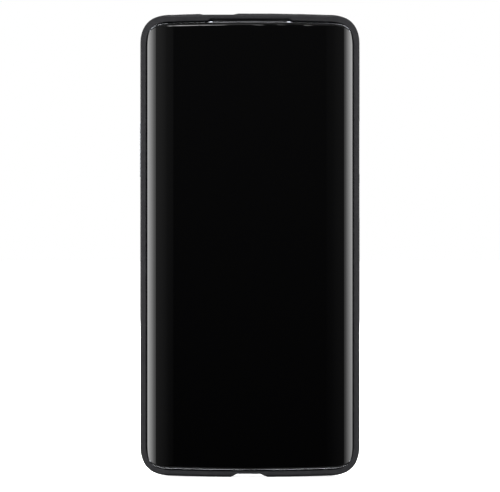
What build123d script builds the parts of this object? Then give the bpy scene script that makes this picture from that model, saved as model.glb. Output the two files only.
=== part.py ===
from build123d import *
import math
import os

# Curved-screen phone with a pop-up camera, in a thin protective case.
# Frame: millimetres, upright, +Z towards the earpiece, screen facing -Y,
# +X on the power-button side, origin under the middle of the case.

# ---- Case and phone, overall ------------------------------------------------
CASE_WIDTH = 78.25
CASE_HEIGHT = 164.95
CASE_WALL = 1.17
CASE_FRONT_Y = -5.2
CASE_BACK_Y = 5.2
PHONE_FRONT_Y = -4.8
PHONE_BACK_Y = 4.0
MID_Z = CASE_HEIGHT / 2
CASE_HALF_W = CASE_WIDTH / 2
CASE_HALF_H = CASE_HEIGHT / 2
PHONE_HALF_W = CASE_HALF_W - CASE_WALL
PHONE_HALF_H = CASE_HALF_H - CASE_WALL
PHONE_TOP = MID_Z + PHONE_HALF_H
PHONE_BOTTOM = MID_Z - PHONE_HALF_H

# ---- Outline seen from the front: bowed ends, corners of three arcs ---------
BOW_R = 820.0
CORNER_END_R = 14.5
CORNER_MID_R = 8.1
CORNER_SPLIT = 20.0

# ---- Side curve of the two glasses, (radius, angle reached) from the flat ---
FRONT_ARCS = [(60.0, 6.0), (7.0, 35.0), (2.8, 90.0)]
BACK_ARCS = [(30.0, 8.0), (6.0, 40.0), (2.2, 90.0)]
FRONT_EDGE_R = 3.0
BACK_EDGE_R = 1.6

# ---- Case lip round the screen ----------------------------------------------
LIP_HALF_W = 36.3
LIP_HALF_H = 79.92
LIP_INSET = 2.85
LIP_SLOPE = 0.5
LIP_END_SLOPE = 0.12
CASE_END_FRONT_R = 1.1
CASE_END_BACK_R = 2.4

# ---- Glass, display and rear cover ------------------------------------------
GLASS_T = 0.55
GLASS_HALF_W = 37.86
GLASS_HALF_H = 78.95
GLASS_INSET = 1.9
GLASS_LOW_Y = -2.0
GLASS_EDGE_R = 0.42
GLASS_MID_Z = MID_Z - 0.27
PANEL_TRIM = 1.4
PANEL_LOW_Y = -2.7
GASKET_W = 0.35
GROOVE_Y = -4.0
BEVEL_Y = -4.42
BEVEL_START = 0.1
MESH_BACK_Y = -3.95
PANEL_T = 0.8
FOAM_T = 0.1
PLATE_T = 0.6
REAR_T = 0.6
REAR_HALF_H = 80.2
REAR_LOW_Y = 1.7

# ---- Inside of the frame ----------------------------------------------------
PANEL_BACK_Y = PHONE_FRONT_Y + GLASS_T + PANEL_T
PLATE_FRONT_Y = PANEL_BACK_Y + FOAM_T
BAY_Y0 = PLATE_FRONT_Y + PLATE_T
BAY_Y1 = PHONE_BACK_Y - REAR_T
BAY_HALF_W = 35.5
BAY_HALF_H = 79.3
BAY_TOP = MID_Z + BAY_HALF_H
BAY_BOTTOM = MID_Z - BAY_HALF_H
SLIP = 0.12

# ---- Keys -------------------------------------------------------------------
KEY_Y0 = -1.25
KEY_Y1 = 0.95
KEY_INNER_X = 36.2
KEY_OUTER_X = 39.05
POWER_Z = (92.4, 104.4)
VOLUME_Z = (106.7, 126.6)
VOLUME_OUTER_X = 39.24
SLIDER_Z = (113.4, 121.9)
SLIDER_TRAVEL = 1.6
SLIDER_CUT_Z = (108.0, 126.8)
DOME_X = 35.12

# ---- Pop-up camera ----------------------------------------------------------
POP_X = (-16.6, -5.8)
POP_Y = (-2.35, 2.95)
POP_BOTTOM_Z = 144.0
POP_WALL = 0.8
SCREW_X = -21.4
ROD_X = -26.4
DRIVE_Y = 0.3
SCREW_R = 0.75
ROD_R = 0.8
MOTOR_R = 2.3
MOTOR_Z = (118.0, 131.0)
GEARBOX_TOP_Z = 138.5
SCREW_TOP_Z = 159.2

# ---- Rear cameras -----------------------------------------------------------
ISLAND_HALF_W = 6.0
ISLAND_Z = (115.0, 152.0)
ISLAND_BACK_Y = 5.0
LENS_Z = {"ultrawide": 146.0, "main": 134.0, "telephoto": 121.6}
LENS_R = {"ultrawide": 2.6, "main": 3.5, "telephoto": 3.0}
MODULE_HALF = {"ultrawide": 4.7, "main": 5.2, "telephoto": 5.0}

# ---- Bottom end -------------------------------------------------------------
PORT_Y = -0.4
PORT_HALF_W = 4.47
PORT_HALF_T = 1.58
PORT_SHELL = 0.3
PORT_DEPTH = 7.4
TRAY_X = (-29.5, -16.0)
TRAY_Y = (-0.9, 0.5)
TRAY_LENGTH = 15.0
CARD_W = 12.3
CARD_H = 8.8
CARD_T = 0.67
SPEAKER_X = (8.0, 32.5)
SOUND_HOLES_X = [9.5 + 2.2 * i for i in range(6)]
MIC_X = -10.2

# ---- Battery and boards -----------------------------------------------------
BATTERY_Z = (28.0, 102.5)
BATTERY_HALF_W = 32.0
BATTERY_Y = (-2.65, 2.35)
BOARD_Y = (-0.9, -0.1)
BOARD_Z = (104.5, 157.0)
BOARD_X = (7.2, 33.8)
SUB_BOARD_Y = (1.3, 1.9)
COVER_SCREWS = [(9.5, 107.5), (31.0, 107.5), (31.5, 131.0), (9.2, 155.0), (29.0, 155.0), (-31.0, 107.5)]
SUB_SCREWS = [(-32.0, 9.0), (-32.0, 24.0), (5.6, 24.0)]


def block(x0, x1, y0, y1, z0, z1):
    """Box between two corners."""
    centre = Pos((x0 + x1) / 2, (y0 + y1) / 2, (z0 + z1) / 2)
    return centre * Box(x1 - x0, y1 - y0, z1 - z0)


def soft_block(x0, x1, y0, y1, z0, z1, r):
    """Box with its four edges along Y rounded."""
    body = block(x0, x1, y0, y1, z0, z1)
    return fillet(body.edges().filter_by(Axis.Y), r)


def rod(x, y, z0, z1, r):
    """Upright cylinder."""
    return Pos(x, y, (z0 + z1) / 2) * Cylinder(r, z1 - z0)


def disc(x, z, y0, y1, r):
    """Cylinder lying along Y."""
    return Pos(x, (y0 + y1) / 2, z) * Rot(90, 0, 0) * Cylinder(r, y1 - y0)


def arc_run(x, y, arcs):
    """Tangent arcs that start along +X and turn towards -Y, as (start, middle, end) points."""
    runs = []
    turned = 0.0
    for radius, reached in arcs:
        a0 = math.radians(turned)
        a1 = math.radians(reached)
        cx = x - radius * math.sin(a0)
        cy = y - radius * math.cos(a0)
        points = []
        for a in (a0, (a0 + a1) / 2, a1):
            points.append((cx + radius * math.sin(a), cy + radius * math.cos(a)))
        runs.append(points)
        x, y = points[-1]
        turned = reached
    return runs


def run_width(arcs):
    """How far a run of arcs reaches along X."""
    return arc_run(0, 0, arcs)[-1][-1][0]


def mirrored_arcs(runs, flip_x, flip_y):
    """Edges for a run of arcs, mirrored where the flips are -1."""
    edges = []
    for points in runs:
        edges.append(ThreePointArc(*[(flip_x * x, flip_y * y) for x, y in points]))
    return edges


def outline(half_w, half_h, inset):
    """Front outline: bowed ends, straight sides, corners whose radii shrink with the inset."""
    end_r = CORNER_END_R - inset
    mid_r = CORNER_MID_R - inset
    corner = [(end_r, CORNER_SPLIT), (mid_r, 90 - CORNER_SPLIT), (end_r, 90)]
    reach = half_w - run_width(corner)
    start = math.degrees(math.asin(reach / (BOW_R - end_r)))
    runs = arc_run(0, half_h, [(BOW_R, start)] + corner)
    side_y = runs[-1][-1][1]
    edges = []
    for flip_x in (1, -1):
        for flip_y in (1, -1):
            edges += mirrored_arcs(runs, flip_x, flip_y)
        edges.append(Line((flip_x * half_w, side_y), (flip_x * half_w, -side_y)))
    return make_face(edges)


def slab(half_w, half_h, inset, y0, y1, front_r=0.0, back_r=0.0, mid_z=MID_Z):
    """Outline extruded through the thickness, with its front and back edges rounded."""
    face = Plane(origin=(0, y1, mid_z), x_dir=(1, 0, 0), z_dir=(0, -1, 0)) * outline(half_w, half_h, inset)
    body = extrude(face, amount=y1 - y0)
    ends = body.faces().sort_by(Axis.Y)
    if back_r:
        body = fillet(ends[-1].edges(), back_r)
        ends = body.faces().sort_by(Axis.Y)
    if front_r:
        body = fillet(ends[0].edges(), front_r)
    return body


def phone_prism(depth):
    """Everything deeper than the given depth below the curved front and back surfaces."""
    front = [(r - depth, a) for r, a in FRONT_ARCS]
    back = [(r - depth, a) for r, a in BACK_ARCS]
    front_x = PHONE_HALF_W - run_width(FRONT_ARCS)
    back_x = PHONE_HALF_W - run_width(BACK_ARCS)
    front_y = PHONE_FRONT_Y + depth
    back_y = PHONE_BACK_Y - depth
    front_runs = arc_run(front_x, -front_y, front)
    back_runs = arc_run(back_x, back_y, back)
    side_x = PHONE_HALF_W - depth
    edges = [Line((-front_x, front_y), (front_x, front_y)), Line((-back_x, back_y), (back_x, back_y))]
    for flip in (1, -1):
        edges += mirrored_arcs(front_runs, flip, -1)
        edges += mirrored_arcs(back_runs, flip, 1)
        low = (flip * side_x, -front_runs[-1][-1][1])
        high = (flip * side_x, back_runs[-1][-1][1])
        edges.append(Line(low, high))
    return extrude(make_face(edges), amount=CASE_HEIGHT)


def case_prism():
    """Side profile of the case: low lip beside the curved glass, full round at the back."""
    lip_start = (27.2, CASE_FRONT_Y)
    lip_in = (36.6, -3.95)
    lip_out = (38.25, -3.56)
    shoulder = (38.95, -2.75)
    widest = (CASE_HALF_W, -0.9)
    back = [(r + CASE_WALL, a) for r, a in BACK_ARCS]
    back_x = CASE_HALF_W - run_width(back)
    back_runs = arc_run(back_x, CASE_BACK_Y, back)
    front_line = Line((-lip_start[0], CASE_FRONT_Y), lip_start)
    edges = [front_line, Line((-back_x, CASE_BACK_Y), (back_x, CASE_BACK_Y))]
    for flip in (1, -1):
        points = [(flip * x, y) for x, y in (lip_start, lip_in, lip_out, shoulder, widest)]
        edges.append(TangentArc(points[0], points[1], tangent=(flip, 0)))
        edges.append(Line(points[1], points[2]))
        edges.append(TangentArc(points[2], points[3], tangent=(flip * 1.65, 0.39)))
        edges.append(Line(points[3], points[4]))
        end = (flip * back_runs[-1][-1][0], back_runs[-1][-1][1])
        edges.append(Line(points[4], end))
        edges += mirrored_arcs(back_runs, flip, 1)
    return extrude(make_face(edges), amount=CASE_HEIGHT)


def prism(points, y0, y1):
    """Polygon given in X and Z, extruded through the thickness."""
    place = Plane(origin=(0, y1, 0), x_dir=(1, 0, 0), z_dir=(0, -1, 0))
    return extrude(place * make_face(Polyline(*points, close=True)), amount=y1 - y0)


def pill(half_w, z0, z1, y0, y1):
    """Upright stadium through the thickness, centred on x = 0."""
    middle = block(-half_w, half_w, y0, y1, z0 + half_w, z1 - half_w)
    return middle + disc(0, z0 + half_w, y0, y1, half_w) + disc(0, z1 - half_w, y0, y1, half_w)


def flat_tube(half_w, half_t, x, y, z0, z1):
    """Upright bar whose section is a stadium along X."""
    section = Pos(x, y, z0) * SlotOverall(2 * half_w, 2 * half_t)
    return extrude(section, amount=z1 - z0)


# ---- Outer bodies -----------------------------------------------------------
def phone_envelope():
    """Whole outside of the phone, without its island and keys."""
    body = slab(PHONE_HALF_W, PHONE_HALF_H, CASE_WALL, PHONE_FRONT_Y, PHONE_BACK_Y, FRONT_EDGE_R, BACK_EDGE_R)
    return body & phone_prism(0)


def flared(half_w, half_h, inset, y0, y1, side_slope, end_slope):
    """Outline of the stated size at y0, widening towards the front at the given slopes."""
    sections = []
    for y in (y0, y1):
        out = (y0 - y) * side_slope
        place = Plane(origin=(0, y, GLASS_MID_Z), x_dir=(1, 0, 0), z_dir=(0, -1, 0))
        sections.append(place * outline(half_w + out, half_h + (y0 - y) * end_slope, inset - out))
    return loft(sections)


def screen_opening():
    """Tool for the case's window: its wall leans outwards towards the front."""
    front = CASE_FRONT_Y - 1
    return flared(LIP_HALF_W, LIP_HALF_H, LIP_INSET, GLASS_LOW_Y, front, LIP_SLOPE, LIP_END_SLOPE)


def case_cuts():
    """Tools for every cut-out of the case."""
    top = CASE_HEIGHT + 1
    front = CASE_FRONT_Y - 1
    back = CASE_BACK_Y + 1
    scoop = CASE_HEIGHT - 0.5
    lip_in = GLASS_MID_Z + 80.0
    lip_out = GLASS_MID_Z + 80.95
    cuts = [screen_opening()]
    cuts.append(prism([(-22.8, top), (-16.7, scoop), (-5.8, scoop), (0.2, top)], front, back))
    cuts.append(block(-17.5, -4.9, -2.9, 3.5, PHONE_TOP - 1.5, top))
    cuts.append(prism([(-15.2, lip_in), (-14.0, lip_out), (14.1, lip_out), (15.3, lip_in)], front, -4.0))
    plug_z = CASE_WALL + 0.03
    cuts.append(prism([(-8.9, -1.0), (-4.6, plug_z), (3.6, plug_z), (8.8, -1.0)], front, back))
    cuts.append(flat_tube(PORT_HALF_W + 0.1, PORT_HALF_T + 0.1, 0, PORT_Y, -1, PHONE_BOTTOM + 0.5))
    cuts.append(flat_tube(7.8, 1.7, (TRAY_X[0] + TRAY_X[1]) / 2, sum(TRAY_Y) / 2, -1, PHONE_BOTTOM + 1.5))
    cuts.append(flat_tube(7.0, 1.3, 15.0, PORT_Y, -1, PHONE_BOTTOM + 0.5))
    cuts.append(rod(MIC_X, PORT_Y, -1, PHONE_BOTTOM + 0.5, 0.9))
    cuts.append(rod(12.0, PORT_Y, PHONE_TOP - 0.5, top, 0.9))
    outer = CASE_HALF_W + 1
    wall = PHONE_HALF_W - 1.5
    low, high = SLIDER_CUT_Z
    slider = [(wall, low + 2.4), (wall, high - 2.4), (outer, high + 1.0), (outer, low - 1.0)]
    cuts.append(prism(slider, -2.0, 2.2))
    cuts.append(block(wall, outer, KEY_Y0 - 0.3, KEY_Y1 + 0.3, POWER_Z[0] - 0.3, POWER_Z[1] + 0.3))
    cuts.append(block(-outer, -wall, KEY_Y0 - 0.3, KEY_Y1 + 0.3, VOLUME_Z[0] - 0.35, VOLUME_Z[1] + 0.35))
    cuts.append(pill(8.3, 100.6, 155.4, PHONE_BACK_Y - 1, back))
    return cuts


def make_case(envelope):
    body = slab(CASE_HALF_W, CASE_HALF_H, 0, CASE_FRONT_Y, CASE_BACK_Y, CASE_END_FRONT_R, CASE_END_BACK_R)
    body = (body & case_prism()) - envelope
    for cut in case_cuts():
        body -= cut
    return body


def make_front(envelope):
    """Cover glass, gasket, panel, foam and fingerprint sensor."""
    skin = envelope - phone_prism(GLASS_T)
    glass = skin & glass_slab(0, PHONE_FRONT_Y, GLASS_LOW_Y, GLASS_EDGE_R)
    gasket = envelope & groove_ring(-4.3)
    panel = phone_prism(GLASS_T) - phone_prism(GLASS_T + PANEL_T)
    trim = PANEL_TRIM
    panel &= slab(
        GLASS_HALF_W, GLASS_HALF_H - trim, GLASS_INSET + trim, PHONE_FRONT_Y - 1, PANEL_LOW_Y, mid_z=GLASS_MID_Z
    )
    foam = block(-26.5, 26.5, PANEL_BACK_Y, PLATE_FRONT_Y, 12, 157) - sensor_block(0.4)
    return {
        "cover_glass": glass,
        "glass_gasket": gasket,
        "display_panel": panel,
        "display_foam": foam,
        "fingerprint_sensor": sensor_block(0),
    }


def sensor_block(margin):
    """Fingerprint sensor under the panel, or its window when it has a margin."""
    half = 4.4 + margin
    return block(-half, half, PANEL_BACK_Y, PANEL_BACK_Y + 0.55 + margin, 32.5 - half, 32.5 + half)


def glass_slab(grow, y0, y1, front_r=0.0):
    """Slab with the glass outline, grown evenly all round."""
    half_w = GLASS_HALF_W + grow
    return slab(half_w, GLASS_HALF_H + grow, GLASS_INSET - grow, y0, y1, front_r, mid_z=GLASS_MID_Z)


def groove_ring(front_y):
    """Narrow ring just outside the glass edge, down to the bottom of its groove."""
    return glass_slab(GASKET_W, front_y, GROOVE_Y) - glass_slab(0, front_y - 1, GROOVE_Y)


def rim_bevel():
    """Tool for the frame's narrow sloping edge beside the glass, deepest at the two ends."""
    half_w = GLASS_HALF_W + GASKET_W - BEVEL_START
    half_h = GLASS_HALF_H + GASKET_W - BEVEL_START
    low_y = BEVEL_Y + BEVEL_START
    return flared(half_w, half_h, GLASS_INSET - GASKET_W + BEVEL_START, low_y, low_y - 1, 1, 1)


def make_rear(envelope):
    """Rear glass with its camera, flash and rangefinder windows, and the space it takes from the frame."""
    glass = envelope - phone_prism(REAR_T)
    glass &= slab(GLASS_HALF_W, REAR_HALF_H, CASE_WALL + 1.1, REAR_LOW_Y, PHONE_BACK_Y + 1)
    frame_space = glass
    glass -= pill(ISLAND_HALF_W, ISLAND_Z[0], ISLAND_Z[1], REAR_LOW_Y, PHONE_BACK_Y + 1)
    glass -= disc(0, 109.8, REAR_LOW_Y, PHONE_BACK_Y + 1, 2.5)
    glass -= disc(0, 105.0, REAR_LOW_Y, PHONE_BACK_Y + 1, 1.1)
    return {"rear_glass": glass}, frame_space


def frame_holes():
    """Tools for the openings through the frame's walls."""
    top = PHONE_TOP + 1
    bottom = PHONE_BOTTOM - 1
    side = PHONE_HALF_W + 2
    low = BAY_HALF_W - 1
    holes = [block(POP_X[0] - SLIP, POP_X[1] + SLIP, POP_Y[0] - SLIP, POP_Y[1] + SLIP, BAY_TOP - 1, top)]
    holes.append(flat_tube(PORT_HALF_W + 0.1, PORT_HALF_T + 0.1, 0, PORT_Y, bottom, BAY_BOTTOM + 1))
    tray_low = (TRAY_X[0] - SLIP, TRAY_X[1] + SLIP)
    holes.append(block(*tray_low, TRAY_Y[0] - SLIP, TRAY_Y[1] + SLIP, bottom, BAY_BOTTOM + 3))
    for x in SOUND_HOLES_X:
        holes.append(rod(x, PORT_Y, bottom, BAY_BOTTOM + 1, 0.65))
    holes.append(rod(MIC_X, PORT_Y, bottom, BAY_BOTTOM + 1, 0.4))
    holes.append(rod(12.0, PORT_Y, BAY_TOP - 1, top, 0.4))
    holes.append(block(low, side, KEY_Y0 - SLIP, KEY_Y1 + SLIP, POWER_Z[0] - SLIP, POWER_Z[1] + SLIP))
    holes.append(block(-side, -low, KEY_Y0 - SLIP, KEY_Y1 + SLIP, VOLUME_Z[0] - SLIP, VOLUME_Z[1] + SLIP))
    reach = SLIDER_TRAVEL + SLIP
    holes.append(block(37.1, side, KEY_Y0 - SLIP, KEY_Y1 + SLIP, SLIDER_Z[0] - reach, SLIDER_Z[1] + reach))
    mid = sum(SLIDER_Z) / 2
    holes.append(block(low, side, -0.75, 0.45, mid - 1.2 - reach, mid + 1.2 + reach))
    mesh_z = GLASS_MID_Z + GLASS_HALF_H + GASKET_W - 0.15
    holes.append(block(-13.3, 13.3, PHONE_FRONT_Y - 1, MESH_BACK_Y, mesh_z, GLASS_MID_Z + 80.1))
    holes.append(block(-4.0, 4.0, MESH_BACK_Y - 0.1, BAY_Y0 + 1.5, MID_Z + 78.2, GLASS_MID_Z + 80.1))
    holes.append(sensor_block(0.2))
    return holes


def make_frame(envelope, rear_space):
    """Metal frame with its mid plate and screw bosses, and the plastic antenna breaks."""
    glass_space = (envelope - phone_prism(GLASS_T)) & glass_slab(0, PHONE_FRONT_Y - 1, GLASS_LOW_Y)
    panel_space = phone_prism(GLASS_T) - phone_prism(GLASS_T + PANEL_T + FOAM_T)
    trim = PANEL_TRIM - 0.5
    panel_space &= slab(
        GLASS_HALF_W, GLASS_HALF_H - trim, GLASS_INSET + trim, PHONE_FRONT_Y - 1, PANEL_LOW_Y + 0.2, mid_z=GLASS_MID_Z
    )
    frame = envelope - glass_space - panel_space - rear_space
    frame -= groove_ring(PHONE_FRONT_Y - 1)
    frame -= rim_bevel()
    frame -= slab(BAY_HALF_W, BAY_HALF_H, CASE_WALL + 2.0, BAY_Y0, BAY_Y1)
    for x, z in COVER_SCREWS:
        frame += disc(x, z, BAY_Y0, BOARD_Y[0], 1.5)
    for x, z in SUB_SCREWS:
        frame += disc(x, z, BAY_Y0, SUB_BOARD_Y[0], 1.5)
    for x, z in COVER_SCREWS + SUB_SCREWS:
        frame -= disc(x, z, BAY_Y0 + 0.2, PHONE_BACK_Y, 0.5)
    for hole in frame_holes():
        frame -= hole
    breaks = []
    for x in (-27.5, 26.3):
        for z0, z1 in ((PHONE_BOTTOM - 1, BAY_BOTTOM), (BAY_TOP, PHONE_TOP + 1)):
            strip = block(x, x + 1.2, PHONE_FRONT_Y - 1, PHONE_BACK_Y + 1, z0, z1)
            if z0 < MID_Z and x < 0:
                strip = Pos(-4.0, 0, 0) * strip
            breaks.append(frame & strip)
            frame -= strip
    return {"mid_frame": frame, "antenna_breaks": Compound([s for b in breaks for s in b.solids()])}


# ---- Top end ----------------------------------------------------------------
def make_earpiece():
    z0 = GLASS_MID_Z + GLASS_HALF_H + GASKET_W + 0.04
    z1 = GLASS_MID_Z + 80.06
    mesh = soft_block(-13.1, 13.1, MESH_BACK_Y - 0.3, MESH_BACK_Y, z0, z1, 0.3)
    count = 40
    pitch = 25.2 / (count - 1)
    for row in (-1, 1):
        for i in range(count):
            x = -12.6 + pitch * (i + 0.25 * row)
            mesh -= disc(x, (z0 + z1) / 2 + 0.17 * row, -4.6, -4.0, 0.13)
    receiver = soft_block(-4.8, 6.8, -2.6, -0.4, 156.4, 161.4, 0.8)
    receiver -= soft_block(-4.0, 6.0, -2.8, -2.2, 157.1, 160.7, 0.6)
    return {"earpiece_mesh": mesh, "earpiece_speaker": receiver}


def make_popup(envelope):
    """Pop-up camera, its drive and its guide."""
    x0, x1 = POP_X
    y0, y1 = POP_Y
    middle_x = (x0 + x1) / 2
    window_z = PHONE_TOP - 4.6
    housing = envelope & block(x0, x1, y0, y1, POP_BOTTOM_Z, PHONE_TOP + 1)
    housing = fillet(housing.edges().filter_by(Axis.Z), 0.7)
    inner_y0 = y0 + POP_WALL
    inner_y1 = y1 - POP_WALL
    cavity = block(x0 + POP_WALL, x1 - POP_WALL, inner_y0, inner_y1, POP_BOTTOM_Z - 1, PHONE_TOP - 0.9)
    housing -= cavity
    housing -= disc(middle_x, window_z, y0 - 1, y0 + POP_WALL + 0.5, 3.0)
    window = disc(middle_x, window_z, y0 + 0.1, y0 + 0.6, 2.95)
    half = 3.6
    module = block(middle_x - half, middle_x + half, inner_y0 + 0.9, inner_y1, window_z - half, PHONE_TOP - 1.0)
    module += disc(middle_x, window_z, y0 + 0.8, y0 + POP_WALL + 1.0, 2.4)
    arm = block(ROD_X - 1.8, x0, DRIVE_Y - 1.3, DRIVE_Y + 1.3, 144.2, 147.6)
    arm -= rod(SCREW_X, DRIVE_Y, 140, 150, SCREW_R + 0.06)
    arm -= rod(ROD_X, DRIVE_Y, 140, 150, ROD_R + 0.06)
    return {
        "popup_housing": housing,
        "popup_window": window,
        "popup_camera_module": module,
        "popup_carriage": arm,
    }


def make_popup_drive():
    """Stepper motor, gearbox, lead screw, guide rod, bracket, bumper and seal."""
    motor = rod(SCREW_X, DRIVE_Y, MOTOR_Z[0], GEARBOX_TOP_Z, MOTOR_R)
    motor += block(SCREW_X - 1.6, SCREW_X + 1.6, DRIVE_Y - 2.7, DRIVE_Y, MOTOR_Z[0] + 1, MOTOR_Z[0] + 3.5)
    for z in (MOTOR_Z[1], 133.0, 135.5):
        motor -= rod(SCREW_X, DRIVE_Y, z, z + 0.3, 5) - rod(SCREW_X, DRIVE_Y, z, z + 0.3, MOTOR_R - 0.15)
    screw = rod(SCREW_X, DRIVE_Y, GEARBOX_TOP_Z + 0.05, SCREW_TOP_Z, SCREW_R)
    screw += rod(SCREW_X, DRIVE_Y, GEARBOX_TOP_Z + 0.05, GEARBOX_TOP_Z + 1.2, 1.2)
    screw -= block(SCREW_X - 2, SCREW_X, DRIVE_Y + 0.6, DRIVE_Y + 2, GEARBOX_TOP_Z, GEARBOX_TOP_Z + 1.2)
    for i in range(14):
        z = 141.0 + 1.2 * i
        screw -= rod(SCREW_X, DRIVE_Y, z, z + 0.4, 3) - rod(SCREW_X, DRIVE_Y, z, z + 0.4, SCREW_R - 0.15)
    guide = rod(ROD_X, DRIVE_Y, GEARBOX_TOP_Z + 1.0, 160.2, ROD_R)
    left = ROD_X - 2.2
    right = SCREW_X + 2.6
    bracket = block(left, right, DRIVE_Y + 1.6, DRIVE_Y + 2.2, GEARBOX_TOP_Z, 160.6)
    bracket += block(left, right, DRIVE_Y - 1.5, DRIVE_Y + 2.2, 159.0, 160.6)
    bracket += block(left, right, DRIVE_Y - 1.5, DRIVE_Y + 2.2, GEARBOX_TOP_Z, GEARBOX_TOP_Z + 1.4)
    bracket -= rod(SCREW_X, DRIVE_Y, GEARBOX_TOP_Z - 1, GEARBOX_TOP_Z + 2, 1.3)
    bracket -= rod(SCREW_X, DRIVE_Y, 158, SCREW_TOP_Z + 0.2, SCREW_R + 0.06)
    bracket -= rod(ROD_X, DRIVE_Y, GEARBOX_TOP_Z + 1.0, 160.2, ROD_R)
    seal_z = BAY_TOP - 1.25
    seal_top = seal_z + 1.0
    grip = 0.06
    seal = block(POP_X[0] - 1.2, POP_X[1] + 0.6, POP_Y[0] - 0.35, POP_Y[1] + 0.4, seal_z, seal_top)
    across = (POP_X[0] - grip, POP_X[1] + grip)
    seal -= block(*across, POP_Y[0] - grip, POP_Y[1] + grip, seal_z - 1, seal_top + 1)
    flex = block(-13.5, -8.5, BAY_Y0, BAY_Y0 + 0.15, 116.0, 141.5)
    flex += block(-13.5, -8.5, BAY_Y0, BAY_Y0 + 2.6, 141.35, 141.5)
    return {
        "popup_motor": motor,
        "popup_lead_screw": screw,
        "popup_guide_rod": guide,
        "popup_bracket": bracket,
        "popup_seal": seal,
        "popup_flex": flex,
    }


# ---- Rear cameras -----------------------------------------------------------
def make_cameras():
    nodes = {}
    for name, z in LENS_Z.items():
        half = MODULE_HALF[name]
        r = LENS_R[name]
        housing = soft_block(-half, half, -2.3, 2.9, z - half, z + half, 0.5)
        housing -= disc(0, z, -0.8, 4, r + 0.1)
        barrel = disc(0, z, -0.4, 3.85, r)
        barrel -= disc(0, z, 3.3, 5, r * 0.82)
        barrel -= disc(0, z, 3.0, 5, r * 0.6)
        nodes[name + "_camera_housing"] = housing
        nodes[name + "_lens_barrel"] = barrel
    trim = pill(ISLAND_HALF_W, ISLAND_Z[0], ISLAND_Z[1], 3.0, ISLAND_BACK_Y)
    trim = fillet(trim.edges().group_by(Axis.Y)[-1], 0.35)
    trim -= pill(ISLAND_HALF_W - 0.7, ISLAND_Z[0] + 0.7, ISLAND_Z[1] - 0.7, 4.2, 6)
    trim -= pill(ISLAND_HALF_W - 1.1, ISLAND_Z[0] + 1.1, ISLAND_Z[1] - 1.1, 2, 5)
    nodes["camera_island_trim"] = trim
    nodes["camera_island_glass"] = pill(
        ISLAND_HALF_W - 0.7, ISLAND_Z[0] + 0.7, ISLAND_Z[1] - 0.7, 4.2, ISLAND_BACK_Y - 0.1
    )
    nodes["flash_led"] = disc(0, 109.8, BAY_Y1, PHONE_BACK_Y, 2.5) + block(
        -2.4, 2.4, BAY_Y1 - 1.0, BAY_Y1, 107.4, 112.2
    )
    nodes["laser_autofocus"] = disc(0, 105.0, BAY_Y1 - 0.6, PHONE_BACK_Y, 1.1)
    return nodes


# ---- Power and boards -------------------------------------------------------
def can(x0, x1, y0, y1, z0, z1, open_front):
    """Thin shield can, open towards the board."""
    t = 0.2
    inner_y0 = y0 - 1 if open_front else y0 + t
    inner_y1 = y1 - t if open_front else y1 + 1
    return block(x0, x1, y0, y1, z0, z1) - block(x0 + t, x1 - t, inner_y0, inner_y1, z0 + t, z1 - t)


def make_electronics():
    b0, b1 = BOARD_Y
    x0, x1 = BOARD_X
    board = block(x0, x1, b0, b1, BOARD_Z[0], BOARD_Z[1])
    board += block(-33.5, x0, b0, b1, BOARD_Z[0], 115.5)
    board -= block(x1 - 1.4, x1 + 1, b0 - 1, b1 + 1, 111.0, 124.4)
    board += block(13, 27, -2.05, b0, 124, 140)
    cover = soft_block(x0, x1, 1.7, 2.7, BOARD_Z[0], 156.6, 1.0)
    cover -= block(x0 + 3, x1 - 3, 2.3, 3, 112, 128)
    cover -= block(x0 + 3, x1 - 3, 2.3, 3, 134, 152)
    shields = [
        can(9.5, 29.6, -2.3, b0, 111.5, 152.5, False),
        can(11.8, 28.6, b1, 1.1, 110.5, 128.5, True),
        can(11.8, 28.6, b1, 1.1, 131.5, 151.5, True),
        can(-28.5, -8.0, b1, 1.1, 105.5, 114.5, True),
    ]
    screws = []
    for x, z in COVER_SCREWS:
        shank_end = 2.7 if x > 0 else b1
        if x > 0:
            cover -= disc(x, z, 1, 4, 0.8)
            cover += disc(x, z, b1, 1.7, 1.5) - disc(x, z, b1 - 1, 2, 0.8)
        board -= disc(x, z, b0 - 1, b1 + 1, 0.8)
        screws.append(screw(x, z, BAY_Y0 + 0.3, shank_end))
    sub = block(-33.4, 7.4, SUB_BOARD_Y[0], SUB_BOARD_Y[1], 6.0, 26.0)
    for x, z in SUB_SCREWS:
        sub -= disc(x, z, 0, 3, 0.8)
        screws.append(screw(x, z, BAY_Y0 + 0.3, SUB_BOARD_Y[1]))
    chamber = soft_block(x0, 29.6, BAY_Y0, BAY_Y0 + 0.35, 110.0, 153.0, 1.5)
    cell = block(-BATTERY_HALF_W, BATTERY_HALF_W, BATTERY_Y[0], BATTERY_Y[1], BATTERY_Z[0], BATTERY_Z[1])
    cell = fillet(cell.edges().filter_by(Axis.Z), 1.0)
    link = block(14, 22, 1.1, 1.25, BATTERY_Z[1], 107.4) + block(14, 22, b1, 1.1, 105.0, 107.4)
    link += block(14, 22, 0.6, 1.25, BATTERY_Z[1], BATTERY_Z[1] + 0.8)
    bridge = block(-13, -5, 2.45, 2.6, 21.0, 108.5)
    bridge += block(-13, -5, SUB_BOARD_Y[1], 2.45, 21.0, 24.0) + block(-13, -5, 1.1, 2.45, 106.0, 108.5)
    coil = soft_block(2, 28, 2.5, 2.65, 48, 98, 4) - soft_block(6, 24, 2, 3, 52, 94, 3)
    cable = rod(-33.6, -0.3, 26.6, 104.0, 0.4)
    return {
        "main_board": board,
        "board_cover": cover,
        "board_shields": Compound([s for part in shields for s in part.solids()]),
        "board_screws": Compound([s for part in screws for s in part.solids()]),
        "sub_board": sub,
        "vapour_chamber": chamber,
        "battery": cell,
        "battery_flex": link,
        "main_flex": bridge,
        "nfc_coil": coil,
        "coax_cable": cable,
    }


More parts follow.
